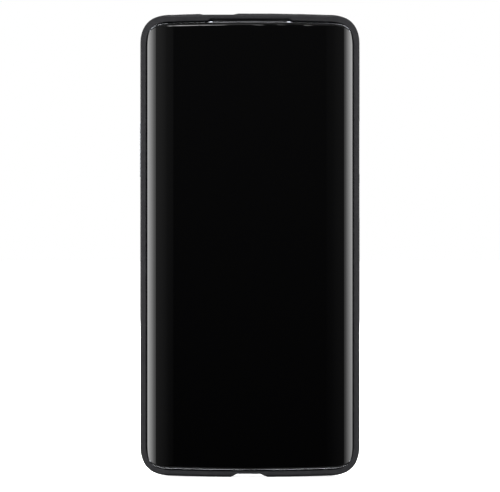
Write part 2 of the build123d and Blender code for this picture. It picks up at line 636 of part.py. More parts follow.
def screw(x, z, tip_y, seat_y):
    """Small pan-head screw with a cross slot, head towards the back."""
    body = disc(x, z, tip_y, seat_y, 0.5) + disc(x, z, seat_y, seat_y + 0.45, 1.1)
    body -= block(x - 0.6, x + 0.6, seat_y + 0.2, seat_y + 1, z - 0.1, z + 0.1)
    body -= block(x - 0.1, x + 0.1, seat_y + 0.2, seat_y + 1, z - 0.6, z + 0.6)
    return body


# ---- Bottom end -------------------------------------------------------------
def make_bottom():
    z0 = PHONE_BOTTOM + 0.25
    z1 = z0 + PORT_DEPTH
    shell = flat_tube(PORT_HALF_W, PORT_HALF_T, 0, PORT_Y, z0, z1)
    shell -= flat_tube(PORT_HALF_W - PORT_SHELL, PORT_HALF_T - PORT_SHELL, 0, PORT_Y, z0 - 1, z1 - 0.6)
    shell += block(-3.35, 3.35, PORT_Y - 0.35, PORT_Y + 0.35, z0 + 0.9, z1 - 0.6)
    gasket = flat_tube(PORT_HALF_W + 0.7, PORT_HALF_T + 0.7, 0, PORT_Y, BAY_BOTTOM + 0.03, BAY_BOTTOM + 0.9)
    gasket -= flat_tube(PORT_HALF_W, PORT_HALF_T, 0, PORT_Y, BAY_BOTTOM - 1, BAY_BOTTOM + 2)
    room = slab(BAY_HALF_W - 0.2, BAY_HALF_H - 0.2, CASE_WALL + 2.2, BAY_Y0 + 0.1, 3.1)
    box = room & soft_block(SPEAKER_X[0], SPEAKER_X[1], -2.6, 2.6, BAY_BOTTOM + 0.5, 25.6, 1.0)
    box -= block(SPEAKER_X[0] + 1, 21.5, -1.8, 0.8, BAY_BOTTOM - 1, BAY_BOTTOM + 3)
    box -= soft_block(14.5, 30.0, -3, -1.6, 9.0, 24.0, 2.0)
    cone = soft_block(14.7, 29.8, -2.5, -1.7, 9.2, 23.8, 1.8)
    mesh = block(8.2, 21.8, PORT_Y - 0.9, PORT_Y + 0.9, BAY_BOTTOM + 0.3, BAY_BOTTOM + 0.5)
    haptic = block(-14.9, -6.4, -2.6, 1.2, 6.6, 25.4) - block(-14.6, -6.7, -2.3, 0.9, 6.9, 25.1)
    mass = block(-14.2, -7.1, -1.9, 0.5, 8.4, 23.6)
    mics = [block(MIC_X - 1.6, MIC_X + 1.6, PORT_Y - 1.0, PORT_Y + 1.0, BAY_BOTTOM + 0.12, BAY_BOTTOM + 1.3)]
    mics.append(block(10.4, 13.6, PORT_Y - 1.0, PORT_Y + 1.0, BAY_TOP - 1.3, BAY_TOP - 0.13))
    return {
        "usb_c_port": shell,
        "usb_c_gasket": gasket,
        "loudspeaker_box": box,
        "loudspeaker_cone": cone,
        "loudspeaker_mesh": mesh,
        "haptic_housing": haptic,
        "haptic_mass": mass,
        "microphones": Compound([s for part in mics for s in part.solids()]),
    }


def make_sim(envelope):
    """Two-sided card tray that fills its slot flush with the bottom edge."""
    x0, x1 = TRAY_X
    y0, y1 = TRAY_Y
    middle_x = (x0 + x1) / 2
    head = envelope & block(x0, x1, y0, y1, PHONE_BOTTOM - 1, PHONE_BOTTOM + 1.9)
    tray = head + block(x0 + 0.3, x1 - 0.3, y0, y1, PHONE_BOTTOM + 1.8, PHONE_BOTTOM + TRAY_LENGTH)
    card_z = PHONE_BOTTOM + 4.4
    gap = 0.06
    tray -= block(
        middle_x - CARD_W / 2 - gap, middle_x + CARD_W / 2 + gap, y0 - 1, y1 + 1, card_z - gap, card_z + CARD_H + gap
    )
    tray -= rod(x1 - 1.6, sum(TRAY_Y) / 2, PHONE_BOTTOM - 1, PHONE_BOTTOM + 3, 0.4)
    cards = []
    for side in (0, 1):
        low = y0 + 0.03 + side * CARD_T
        card = block(middle_x - CARD_W / 2, middle_x + CARD_W / 2, low, low + CARD_T, card_z, card_z + CARD_H)
        corner = [
            (middle_x - CARD_W / 2 - 1, card_z + CARD_H - 1.0),
            (middle_x - CARD_W / 2 + 2.0, card_z + CARD_H + 2.0),
            (middle_x - CARD_W / 2 - 1, card_z + CARD_H + 2.0),
        ]
        cards.append(card - prism(corner, y0 - 1, y1 + 1))
    reader_z0 = BAY_BOTTOM + 0.9
    reader = block(x0 - 0.5, x1 + 0.5, y0 - 0.4, y1 + 0.7, reader_z0, PHONE_BOTTOM + TRAY_LENGTH + 1.2)
    reader -= block(x0 - 0.1, x1 + 0.1, y0 - 0.1, y1 + 0.1, reader_z0 - 1, PHONE_BOTTOM + TRAY_LENGTH + 0.6)
    return {
        "sim_tray": tray,
        "sim_cards": Compound([s for part in cards for s in part.solids()]),
        "sim_reader": reader,
    }


# ---- Keys -------------------------------------------------------------------
def key_cap(inner_x, outer_x, z0, z1):
    """Key on the +X side with a rounded outer face."""
    body = block(inner_x, outer_x, KEY_Y0, KEY_Y1, z0, z1)
    body = fillet(body.edges().filter_by(Axis.X), 0.75)
    return chamfer(body.faces().sort_by(Axis.X)[-1].edges(), 0.22)


def make_keys():
    middle = sum(POWER_Z) / 2
    pin_y = (KEY_Y0 + KEY_Y1) / 2
    power = key_cap(KEY_INNER_X, KEY_OUTER_X, POWER_Z[0], POWER_Z[1])
    power += block(DOME_X + 0.33, KEY_INNER_X, pin_y - 0.5, pin_y + 0.5, middle - 0.8, middle + 0.8)
    power_flex = block(34.4, 34.7, -1.9, 1.7, POWER_Z[0] - 1, POWER_Z[1] + 1)
    power_flex += block(34.7, DOME_X, pin_y - 1.0, pin_y + 1.0, middle - 1.6, middle + 1.6)
    volume = key_cap(KEY_INNER_X, VOLUME_OUTER_X, VOLUME_Z[0], VOLUME_Z[1])
    volume_middle = sum(VOLUME_Z) / 2
    volume_flex = block(34.4, 34.7, -1.9, 1.7, VOLUME_Z[0] - 1, VOLUME_Z[1] + 1)
    for side in (-1, 1):
        z = volume_middle + 6.0 * side
        volume += block(DOME_X + 0.2, KEY_INNER_X, pin_y - 0.5, pin_y + 0.5, z - 0.8, z + 0.8)
        volume_flex += block(34.7, DOME_X, pin_y - 1.0, pin_y + 1.0, z - 1.6, z + 1.6)
    volume = mirror(volume, Plane.YZ)
    volume_flex = mirror(volume_flex, Plane.YZ)
    slider_middle = sum(SLIDER_Z) / 2
    slider = key_cap(37.25, KEY_OUTER_X, SLIDER_Z[0], SLIDER_Z[1])
    slider += block(34.6, 37.25, -0.65, 0.35, slider_middle - 1.1, slider_middle + 1.1)
    for i in range(-3, 4):
        z = slider_middle + 0.55 * i
        slider -= block(KEY_OUTER_X - 0.12, KEY_OUTER_X + 1, KEY_Y0 - 1, KEY_Y1 + 1, z - 0.12, z + 0.12)
    reach = 3.4
    switch = block(32.6, 34.5, -1.4, 1.2, slider_middle - 5.4, slider_middle + 5.4)
    switch += block(34.5, 35.4, -1.4, 1.2, slider_middle - 5.4, slider_middle - reach)
    switch += block(34.5, 35.4, -1.4, 1.2, slider_middle + reach, slider_middle + 5.4)
    return {
        "power_button": power,
        "power_key_flex": power_flex,
        "volume_rocker": volume,
        "volume_key_flex": volume_flex,
        "alert_slider": slider,
        "alert_switch": switch,
    }


def make_all():
    envelope = phone_envelope()
    rear, rear_space = make_rear(envelope)
    nodes = {"case_shell": make_case(envelope)}
    nodes.update(make_front(envelope))
    nodes.update(rear)
    nodes.update(make_frame(envelope, rear_space))
    nodes.update(make_earpiece())
    nodes.update(make_popup(envelope))
    nodes.update(make_popup_drive())
    nodes.update(make_cameras())
    nodes.update(make_electronics())
    nodes.update(make_bottom())
    nodes.update(make_sim(envelope))
    nodes.update(make_keys())
    return nodes


os.makedirs("parts", exist_ok=True)
for node, shape in make_all().items():
    export_step(shape, "parts/" + node + ".step")
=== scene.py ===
import math

import bmesh
import bpy
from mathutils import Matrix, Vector
from mathutils.bvhtree import BVHTree


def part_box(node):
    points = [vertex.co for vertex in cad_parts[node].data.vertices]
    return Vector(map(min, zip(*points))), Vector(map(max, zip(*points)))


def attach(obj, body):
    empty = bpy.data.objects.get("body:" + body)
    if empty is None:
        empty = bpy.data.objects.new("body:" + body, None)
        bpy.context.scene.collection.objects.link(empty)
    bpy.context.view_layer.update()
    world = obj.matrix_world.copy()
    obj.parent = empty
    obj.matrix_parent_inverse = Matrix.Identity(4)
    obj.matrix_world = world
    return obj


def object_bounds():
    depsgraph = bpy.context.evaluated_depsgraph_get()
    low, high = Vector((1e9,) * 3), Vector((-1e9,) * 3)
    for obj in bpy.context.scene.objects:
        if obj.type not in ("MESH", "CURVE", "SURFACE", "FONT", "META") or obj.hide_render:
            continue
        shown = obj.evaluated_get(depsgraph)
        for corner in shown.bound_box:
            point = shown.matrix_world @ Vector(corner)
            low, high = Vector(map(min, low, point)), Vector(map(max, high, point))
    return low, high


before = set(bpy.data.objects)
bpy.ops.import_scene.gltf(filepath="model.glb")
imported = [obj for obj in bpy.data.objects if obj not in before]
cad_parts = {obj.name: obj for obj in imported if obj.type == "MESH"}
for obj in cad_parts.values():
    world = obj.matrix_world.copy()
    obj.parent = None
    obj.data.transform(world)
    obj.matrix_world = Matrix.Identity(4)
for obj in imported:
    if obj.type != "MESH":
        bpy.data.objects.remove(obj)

CAD_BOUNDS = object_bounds()
MM = 0.001


def centre_of(node):
    """Middle of a CAD node's box."""
    low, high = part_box(node)
    return (Vector(low) + Vector(high)) / 2


# ---- Picture ----------------------------------------------------------------
LENS_MM = 200.0
SENSOR_MM = 36.0
VIEW_WIDTH = 177.65 * MM
AIM_Z = 82.2 * MM
FRONT_PLANE_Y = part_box("case_shell")[0][1]


def add_camera():
    """Long lens, level and straight in front of the screen."""
    data = bpy.data.cameras.new("camera")
    data.lens = LENS_MM
    data.sensor_width = SENSOR_MM
    data.clip_start = 0.01
    data.clip_end = 50.0
    camera = bpy.data.objects.new("camera", data)
    bpy.context.collection.objects.link(camera)
    distance = VIEW_WIDTH * LENS_MM / SENSOR_MM
    camera.location = (0.03 * MM, FRONT_PLANE_Y - distance, AIM_Z)
    camera.rotation_euler = (math.radians(90), 0, 0)
    bpy.context.scene.camera = camera


# ---- Node helpers -----------------------------------------------------------
SPAN_SOCKETS = ("From Min", "From Max", "To Min", "To Max")


def feed(links, value, socket):
    """Joins an output to a socket, or sets a plain number on it."""
    if isinstance(value, (int, float)):
        socket.default_value = value
    else:
        links.new(value, socket)


def math_node(tree, operation, *values):
    node = tree.nodes.new("ShaderNodeMath")
    node.operation = operation
    for value, socket in zip(values, node.inputs):
        feed(tree.links, value, socket)
    return node.outputs["Value"]


def map_range(tree, value, *span):
    """Span is from low, from high, to low, to high."""
    node = tree.nodes.new("ShaderNodeMapRange")
    for socket, number in zip(SPAN_SOCKETS, span):
        node.inputs[socket].default_value = number
    tree.links.new(value, node.inputs["Value"])
    return node.outputs["Result"]


def split_axes(tree, vector):
    node = tree.nodes.new("ShaderNodeSeparateXYZ")
    tree.links.new(vector, node.inputs["Vector"])
    return node.outputs


# ---- Material helpers -------------------------------------------------------
class Paint:
    """One node material with a Principled shader and short helpers for its detail."""

    def __init__(self, name, colour, roughness, metallic=0.0):
        self.material = bpy.data.materials.new(name)
        self.material.use_nodes = True
        tree = self.material.node_tree
        self.tree = tree
        self.nodes = tree.nodes
        self.links = tree.links
        self.shader = self.nodes["Principled BSDF"]
        self.shader.inputs["Base Color"].default_value = (*colour, 1)
        self.shader.inputs["Roughness"].default_value = roughness
        self.shader.inputs["Metallic"].default_value = metallic
        self.place = self.nodes.new("ShaderNodeTexCoord").outputs["Object"]
        self.normal = None

    def set(self, **values):
        """Plain numbers on the shader's own sockets."""
        for socket, value in values.items():
            self.shader.inputs[socket.replace("_", " ")].default_value = value
        return self

    def stretched(self, scale):
        """Object coordinates scaled along each axis."""
        mapping = self.nodes.new("ShaderNodeMapping")
        mapping.inputs["Scale"].default_value = scale
        self.links.new(self.place, mapping.inputs["Vector"])
        return mapping.outputs["Vector"]

    def noise(self, scale, detail=3.0, roughness=0.5, vector=None):
        texture = self.nodes.new("ShaderNodeTexNoise")
        texture.inputs["Scale"].default_value = scale
        texture.inputs["Detail"].default_value = detail
        texture.inputs["Roughness"].default_value = roughness
        self.links.new(vector or self.place, texture.inputs["Vector"])
        return texture.outputs["Fac"]

    def cells(self, scale, feature="F1"):
        texture = self.nodes.new("ShaderNodeTexVoronoi")
        texture.feature = feature
        texture.inputs["Scale"].default_value = scale
        self.links.new(self.place, texture.inputs["Vector"])
        return texture.outputs["Distance"]

    def remap(self, value, low, high, start=0.3, stop=0.7):
        return map_range(self.tree, value, start, stop, low, high)

    def tint(self, value, dark, light, start=0.3, stop=0.7):
        """Colour that drifts between two tones."""
        ramp = self.nodes.new("ShaderNodeValToRGB")
        ramp.color_ramp.elements[0].position = start
        ramp.color_ramp.elements[0].color = (*dark, 1)
        ramp.color_ramp.elements[1].position = stop
        ramp.color_ramp.elements[1].color = (*light, 1)
        self.links.new(value, ramp.inputs["Fac"])
        self.links.new(ramp.outputs["Color"], self.shader.inputs["Base Color"])
        return self

    def vary_roughness(self, value, low, high):
        self.links.new(self.remap(value, low, high), self.shader.inputs["Roughness"])
        return self

    def bump(self, value, height, strength=1.0):
        node = self.nodes.new("ShaderNodeBump")
        node.inputs["Strength"].default_value = strength
        node.inputs["Distance"].default_value = height
        self.links.new(value, node.inputs["Height"])
        if self.normal:
            self.links.new(self.normal, node.inputs["Normal"])
        self.normal = node.outputs["Normal"]
        self.links.new(self.normal, self.shader.inputs["Normal"])
        return self

    def soften_edges(self, radius):
        """Rounds shading over sharp edges, before any bump."""
        node = self.nodes.new("ShaderNodeBevel")
        node.samples = 6
        node.inputs["Radius"].default_value = radius
        self.normal = node.outputs["Normal"]
        self.links.new(self.normal, self.shader.inputs["Normal"])
        return self


# ---- Materials --------------------------------------------------------------
GLASS_MID_Z = (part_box("cover_glass")[0][2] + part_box("cover_glass")[1][2]) / 2
GLASS_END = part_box("cover_glass")[1][2] - GLASS_MID_Z
# Band at each end of the glass where its reflection is dimmed: painted shade over the edge's highlight
EDGE_DULLING_WIDTH = 0.6 * MM


def case_paint():
    paint = Paint("case_polymer", (0.010, 0.010, 0.011), 0.5)
    paint.set(Specular_IOR_Level=0.07)
    paint.soften_edges(0.1 * MM)
    paint.tint(paint.noise(900, 4), (0.008, 0.008, 0.009), (0.012, 0.012, 0.013))
    paint.vary_roughness(paint.noise(140, 5), 0.45, 0.55)
    paint.bump(paint.noise(6500, 2), 0.02 * MM, 0.55)
    return paint


def screen_paint():
    paint = Paint("screen_glass", (0.0003, 0.0003, 0.00035), 0.03)
    paint.set(IOR=1.5)
    paint.vary_roughness(paint.noise(60, 4), 0.02, 0.045)
    height = split_axes(paint.tree, paint.place)["Z"]
    along = math_node(paint.tree, "ABSOLUTE", math_node(paint.tree, "SUBTRACT", height, GLASS_MID_Z))
    # Specular level falls from 0.5 to 0.1 over this band at both ends of the glass, a painted shade that
    # hides the edge highlight
    dulled_edge_reflection = paint.remap(along, 0.5, 0.1, GLASS_END - EDGE_DULLING_WIDTH, GLASS_END - EDGE_DULLING_WIDTH / 2)
    paint.links.new(dulled_edge_reflection, paint.shader.inputs["Specular IOR Level"])
    return paint


def rear_paint():
    paint = Paint("rear_glass", (0.02, 0.022, 0.026), 0.28)
    paint.set(Coat_Weight=0.4, Coat_Roughness=0.1)
    paint.tint(paint.noise(400, 3), (0.018, 0.02, 0.024), (0.026, 0.028, 0.032))
    paint.bump(paint.noise(9000, 1), 0.004 * MM, 0.4)
    return paint


def rubber_paint():
    paint = Paint("gasket_rubber", (0.006, 0.006, 0.006), 0.7)
    paint.set(Specular_IOR_Level=0.08)
    return paint.bump(paint.noise(5000, 3), 0.01 * MM, 0.5)


def frame_paint():
    paint = Paint("frame_anodised", (0.11, 0.115, 0.125), 0.16, 1.0)
    paint.soften_edges(0.08 * MM)
    paint.tint(paint.noise(700, 4), (0.10, 0.105, 0.115), (0.125, 0.13, 0.142))
    paint.vary_roughness(paint.noise(350, 4), 0.13, 0.2)
    return paint.bump(paint.noise(12000, 1), 0.004 * MM, 0.4)


def bead_paint():
    paint = Paint("rim_polish", (0.22, 0.225, 0.235), 0.14, 1.0)
    paint.tint(paint.noise(900, 3), (0.19, 0.195, 0.205), (0.25, 0.255, 0.265))
    return paint.vary_roughness(paint.noise(500, 3), 0.1, 0.18)


def key_paint():
    paint = Paint("key_anodised", (0.30, 0.32, 0.355), 0.3, 1.0)
    paint.soften_edges(0.06 * MM)
    fine = paint.noise(1.0, 2, 0.5, paint.stretched((9000, 9000, 40000)))
    paint.tint(fine, (0.285, 0.305, 0.34), (0.315, 0.335, 0.37))
    paint.vary_roughness(paint.noise(600, 3), 0.27, 0.33)
    return paint.bump(fine, 0.0006 * MM, 0.15)


def steel_paint():
    paint = Paint("spring_steel", (0.56, 0.56, 0.57), 0.3, 1.0)
    streaks = paint.noise(1.0, 2, 0.5, paint.stretched((900, 9000, 9000)))
    paint.tint(streaks, (0.48, 0.48, 0.49), (0.62, 0.62, 0.63))
    paint.vary_roughness(streaks, 0.25, 0.38)
    return paint.bump(streaks, 0.004 * MM, 0.3)


def mesh_paint():
    paint = Paint("mesh_black_steel", (0.09, 0.09, 0.095), 0.35, 1.0)
    paint.tint(paint.noise(3000, 2), (0.06, 0.06, 0.065), (0.13, 0.13, 0.135))
    return paint.bump(paint.cells(7000), 0.02 * MM, 0.6)


def plastic_paint():
    paint = Paint("black_plastic", (0.018, 0.018, 0.019), 0.45)
    paint.tint(paint.noise(800, 4), (0.014, 0.014, 0.015), (0.024, 0.024, 0.025))
    paint.vary_roughness(paint.noise(300, 3), 0.38, 0.55)
    return paint.bump(paint.noise(5200, 2), 0.01 * MM, 0.5)


def break_paint():
    paint = Paint("antenna_plastic", (0.022, 0.023, 0.025), 0.42)
    paint.tint(paint.noise(900, 3), (0.019, 0.02, 0.022), (0.026, 0.027, 0.029))
    return paint.bump(paint.noise(8000, 2), 0.005 * MM, 0.4)


def module_paint():
    paint = Paint("module_black", (0.02, 0.02, 0.022), 0.4, 0.6)
    paint.tint(paint.noise(1500, 3), (0.015, 0.015, 0.016), (0.03, 0.03, 0.032))
    return paint.bump(paint.noise(9000, 2), 0.006 * MM, 0.5)


def window_paint(name, tone):
    paint = Paint(name, tone, 0.02)
    paint.set(Transmission_Weight=1.0, IOR=1.46)
    return paint.vary_roughness(paint.noise(120, 3), 0.01, 0.03)


def flash_paint():
    paint = Paint("flash_lens", (0.86, 0.8, 0.52), 0.2)
    paint.set(Coat_Weight=0.8, Coat_Roughness=0.05)
    paint.tint(paint.cells(1400), (0.9, 0.84, 0.55), (0.7, 0.62, 0.34), 0.1, 0.8)
    return paint.bump(paint.cells(1400), 0.05 * MM, 0.4)


def board_paint():
    paint = Paint("circuit_board", (0.01, 0.06, 0.03), 0.35)
    paint.set(Coat_Weight=0.5)
    traces = paint.cells(900, "DISTANCE_TO_EDGE")
    paint.tint(traces, (0.02, 0.13, 0.07), (0.006, 0.045, 0.025), 0.02, 0.07)
    return paint.bump(traces, 0.02 * MM, 0.4)


def flex_paint():
    paint = Paint("polyimide", (0.5, 0.24, 0.05), 0.3)
    lines = paint.noise(1.0, 1, 0.5, paint.stretched((5200, 5200, 60)))
    paint.tint(lines, (0.38, 0.17, 0.03), (0.58, 0.3, 0.08), 0.42, 0.58)
    return paint.bump(lines, 0.01 * MM, 0.4)


def foil_paint():
    paint = Paint("battery_sleeve", (0.04, 0.04, 0.042), 0.4)
    paint.tint(paint.noise(120, 5), (0.032, 0.032, 0.034), (0.055, 0.055, 0.058))
    return paint.bump(paint.noise(260, 4), 0.06 * MM, 0.5)


def copper_paint():
    paint = Paint("copper", (0.75, 0.4, 0.24), 0.34, 1.0)
    paint.tint(paint.noise(260, 5), (0.6, 0.3, 0.18), (0.82, 0.46, 0.28))
    return paint.bump(paint.cells(1300), 0.02 * MM, 0.4)


def card_paint():
    paint = Paint("card_plastic", (0.8, 0.8, 0.78), 0.45)
    paint.tint(paint.noise(500, 3), (0.76, 0.76, 0.74), (0.84, 0.84, 0.82))
    return paint.bump(paint.noise(4000, 2), 0.006 * MM, 0.4)


def panel_paint():
    paint = Paint("display_panel", (0.004, 0.004, 0.005), 0.12)
    paint.tint(paint.noise(5000, 1), (0.003, 0.003, 0.004), (0.006, 0.006, 0.008))
    return paint.bump(paint.cells(9000), 0.004 * MM, 0.3)


def gold_paint():
    paint = Paint("contact_gold", (0.9, 0.66, 0.3), 0.25, 1.0)
    paint.tint(paint.noise(4000, 2), (0.82, 0.58, 0.24), (0.95, 0.72, 0.36))
    return paint.bump(paint.noise(9000, 2), 0.004 * MM, 0.4)


def coated_lens_paint(name, tone):
    """Dark glass element with a coloured anti-reflection coating."""
    paint = Paint(name, (0.002, 0.002, 0.004), 0.02)
    paint.set(IOR=1.6, Specular_Tint=(*tone, 1), Coat_Weight=1.0, Coat_Roughness=0.01, Coat_Tint=(*tone, 1))
    return paint.vary_roughness(paint.noise(300, 2), 0.01, 0.03)


NODE_PAINTS = {
    case_paint: ["case_shell"],
    screen_paint: ["cover_glass"],
    rear_paint: ["rear_glass"],
    rubber_paint: ["glass_gasket", "usb_c_gasket", "popup_seal", "display_foam"],
    frame_paint: ["mid_frame", "popup_housing", "sim_tray", "camera_island_trim"],
    key_paint: ["power_button", "volume_rocker", "alert_slider"],
    steel_paint: [
        "popup_guide_rod", "popup_bracket", "popup_lead_screw", "popup_motor", "sim_reader", "usb_c_port",
        "board_shields", "board_screws", "power_key_flex", "volume_key_flex", "haptic_housing", "haptic_mass",
    ],
    mesh_paint: ["earpiece_mesh", "loudspeaker_mesh", "microphones"],
    plastic_paint: [
        "earpiece_speaker", "loudspeaker_box", "loudspeaker_cone", "board_cover", "alert_switch",
        "ultrawide_lens_barrel", "main_lens_barrel", "telephoto_lens_barrel", "popup_carriage", "coax_cable",
    ],
    break_paint: ["antenna_breaks"],
    module_paint: [
        "main_camera_housing", "telephoto_camera_housing", "ultrawide_camera_housing", "popup_camera_module",
        "fingerprint_sensor", "laser_autofocus",
    ],
    flash_paint: ["flash_led"],
    board_paint: ["main_board", "sub_board"],
    flex_paint: ["main_flex", "battery_flex", "popup_flex", "nfc_coil"],
    foil_paint: ["battery"],
    copper_paint: ["vapour_chamber"],
    card_paint: ["sim_cards"],
    panel_paint: ["display_panel"],
}


def paint_nodes():
    for make, names in NODE_PAINTS.items():
        material = make().material
        for name in names:
            give(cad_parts[name], material)
    island = window_paint("island_glass", (0.75, 0.77, 0.8)).material
    give(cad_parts["camera_island_glass"], island)
    give(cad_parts["popup_window"], window_paint("popup_window_glass", (0.8, 0.82, 0.86)).material)


def give(piece, material):
    """Puts one material in every slot."""
    if not piece.material_slots:
        piece.data.materials.append(material)
    for slot in piece.material_slots:
        slot.material = material


# ---- Mesh helpers -----------------------------------------------------------
def finish_mesh(name, shape, smooth_angle=35.0):
    """Object from a bmesh, shaded smooth below the given edge angle."""
    bmesh.ops.recalc_face_normals(shape, faces=shape.faces)
    data = bpy.data.meshes.new(name)
    shape.to_mesh(data)
    shape.free()
    piece = bpy.data.objects.new(name, data)
    bpy.context.collection.objects.link(piece)
    for polygon in data.polygons:
        polygon.use_smooth = True
    limit = math.radians(smooth_angle)
    edges = bmesh.new()
    edges.from_mesh(data)
    for edge in edges.edges:
        if len(edge.link_faces) == 2 and edge.calc_face_angle() > limit:
            edge.smooth = False
    edges.to_mesh(data)
    edges.free()
    return piece


def lathe(name, centre, profile, steps=72):
    """Closed ring or dome turned about a line along Y; profile is (radius, y) in mm."""
    shape = bmesh.new()
    rings = []
    for radius, y in profile:
        if radius < 1e-6:
            rings.append([shape.verts.new((centre.x, y * MM, centre.z))])
            continue
        ring = []
        for i in range(steps):
            angle = 2 * math.pi * i / steps
            x = centre.x + radius * MM * math.cos(angle)
            z = centre.z + radius * MM * math.sin(angle)
            ring.append(shape.verts.new((x, y * MM, z)))
        rings.append(ring)
    closed = len(rings[0]) > 1
    pairs = list(zip(rings, rings[1:] + (rings[:1] if closed else [])))
    if not closed:
        pairs = pairs[:-1] if len(pairs) == len(rings) else pairs
    for a, b in pairs:
        for i in range(steps):
            j = (i + 1) % steps
            corners = [a[i % len(a)], a[j % len(a)], b[j % len(b)], b[i % len(b)]]
            unique = list(dict.fromkeys(corners))
            if len(unique) > 2:
                shape.faces.new(unique)
    return finish_mesh(name, shape)


# ---- Camera details ---------------------------------------------------------
def dome(radius, edge_y, rise, back_y, rings=7):
    """Profile of a lens element: flat back, bulging face towards larger y."""
    points = [(0.0, back_y), (radius, back_y)]
    for i in range(rings + 1):
        angle = math.pi / 2 * i / rings
        points.append((radius * math.cos(angle), edge_y + rise * math.sin(angle)))
    points[-1] = (0.0, edge_y + rise)
    return points


def lens_stack(name, node, body, glass, ring_material, baffle_material):
    """Metal ring, stepped baffle and coated front element inside a lens barrel."""
    low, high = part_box(node)
    centre = centre_of(node)
    radius = (high[0] - low[0]) / 2 / MM
    top = high[1] / MM
    ring = lathe(
        name + "_lens_ring",
        centre,
        [
            (radius * 0.99, top - 0.03),
            (radius * 0.99, top + 0.05),
            (radius * 0.95, top + 0.09),
            (radius * 0.87, top + 0.09),
            (radius * 0.83, top + 0.03),
            (radius * 0.83, top - 0.03),
        ],
    )
    give(ring, ring_material)
    steps = []
    rows = 5
    for i in range(rows):
        outer = radius * (0.815 - 0.21 * i / rows)
        inner = radius * (0.815 - 0.21 * (i + 1) / rows)
        y = top - 0.06 - 0.09 * i
        steps += [(outer, y), (inner, y)]
    steps += [(radius * 0.6, top - 0.53), (radius * 0.815, top - 0.53)]
    baffle = lathe(name + "_lens_baffle", centre, steps)
    give(baffle, baffle_material)
    element = lathe(name + "_lens_glass", centre, dome(radius * 0.59, top - 0.75, 0.35, top - 0.83))
    give(element, glass)
    for piece, slot in ((ring, "island_metal"), (baffle, "black_plastic"), (element, "island_glass")):
        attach(piece, body)


def rear_cameras():
    ring = frame_paint().material
    baffle = plastic_paint().material
    violet = coated_lens_paint("coating_violet", (0.55, 0.35, 1.0)).material
    blue = coated_lens_paint("coating_blue", (0.3, 0.6, 1.0)).material
    green = coated_lens_paint("coating_green", (0.35, 0.9, 0.7)).material
    lens_stack("ultrawide", "ultrawide_lens_barrel", "root", blue, ring, baffle)
    lens_stack("main", "main_lens_barrel", "main_lens", violet, ring, baffle)
    lens_stack("telephoto", "telephoto_lens_barrel", "telephoto_lens", green, ring, baffle)


# ---- Rim bead ---------------------------------------------------------------
BOW_R = 820.0
RIM_HALF_W = 38.5
RIM_HALF_H = 79.6
RIM_CORNER = ((13.25, 20.0), (6.85, 70.0), (13.25, 78.0))
BEAD_TOP_R = 0.08
BEAD_BOTTOM_R = 0.13
BEAD_LOW_Y = -3.6
SLOT_HALF_W = 14.0


def rim_path():
    """Quarter of the line beside the glass, from the middle of an end round to the side, in mm."""
    reach = RIM_HALF_W
    before = 0.0
    for radius, angle in RIM_CORNER[:2] + ((RIM_CORNER[2][0], 90.0),):
        here = math.sin(math.radians(angle))
        reach -= radius * (here - before)
        before = here
    start = math.asin(reach / (BOW_R - RIM_CORNER[0][0]))
    runs = [(BOW_R, start, 24)] + [(r, math.radians(a), 18) for r, a in RIM_CORNER]
    x, z, angle = 0.0, RIM_HALF_H, 0.0
    points = [(x, z, angle)]
    for radius, end, steps in runs:
        centre_x = x - radius * math.sin(angle)
        centre_z = z - radius * math.cos(angle)
        first = angle
        for i in range(1, steps + 1):
            angle = first + (end - first) * i / steps
            x = centre_x + radius * math.sin(angle)
            z = centre_z + radius * math.cos(angle)
            points.append((x, z, angle))
    return points


def rim_bead(name, flip, thick, tree):
    """Thin polished bead on the frame round one end of the glass, fading out up both sides."""
    quarter = rim_path()
    whole = [(-x, z, -a) for x, z, a in reversed(quarter[1:])] + quarter
    shape = bmesh.new()
    sides = 12
    rings = []
    for x, z, angle in whole:
        sample_x = math.copysign(max(abs(x), SLOT_HALF_W), x)
        place = Vector((sample_x * MM, -0.02, GLASS_MID_Z + flip * z * MM))
        hit = tree.ray_cast(place, Vector((0, 1, 0)))[0]
        if hit is None or hit.y > BEAD_LOW_Y * MM:
            continue
        hit.x = x * MM
        fade = max(0.0, (math.degrees(abs(angle)) - 40.0) / 38.0)
        radius = thick * MM * (1.0 - 0.85 * min(1.0, fade))
        outward = Vector((math.sin(angle), 0, flip * math.cos(angle)))
        ring = []
        for i in range(sides):
            turn = 2 * math.pi * i / sides
            offset = outward * math.cos(turn) + Vector((0, 1, 0)) * math.sin(turn)
            ring.append(shape.verts.new(hit + offset * radius))
        rings.append(ring)
    for a, b in zip(rings, rings[1:]):
        for i in range(sides):
            j = (i + 1) % sides
            shape.faces.new((a[i], a[j], b[j], b[i]))
    shape.faces.new(rings[0])
    shape.faces.new(list(reversed(rings[-1])))
    bead = finish_mesh(name, shape, 60.0)
    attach(bead, "root")
    return bead


def rim_beads():
    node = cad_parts["mid_frame"]
    shape = bmesh.new()
    shape.from_mesh(node.data)
    shape.transform(node.matrix_world)
    tree = BVHTree.FromBMesh(shape)
    shape.free()
    polish = bead_paint().material
    for name, flip, thick in (("rim_bead_top", 1, BEAD_TOP_R), ("rim_bead_bottom", -1, BEAD_BOTTOM_R)):
        give(rim_bead(name, flip, thick, tree), polish)


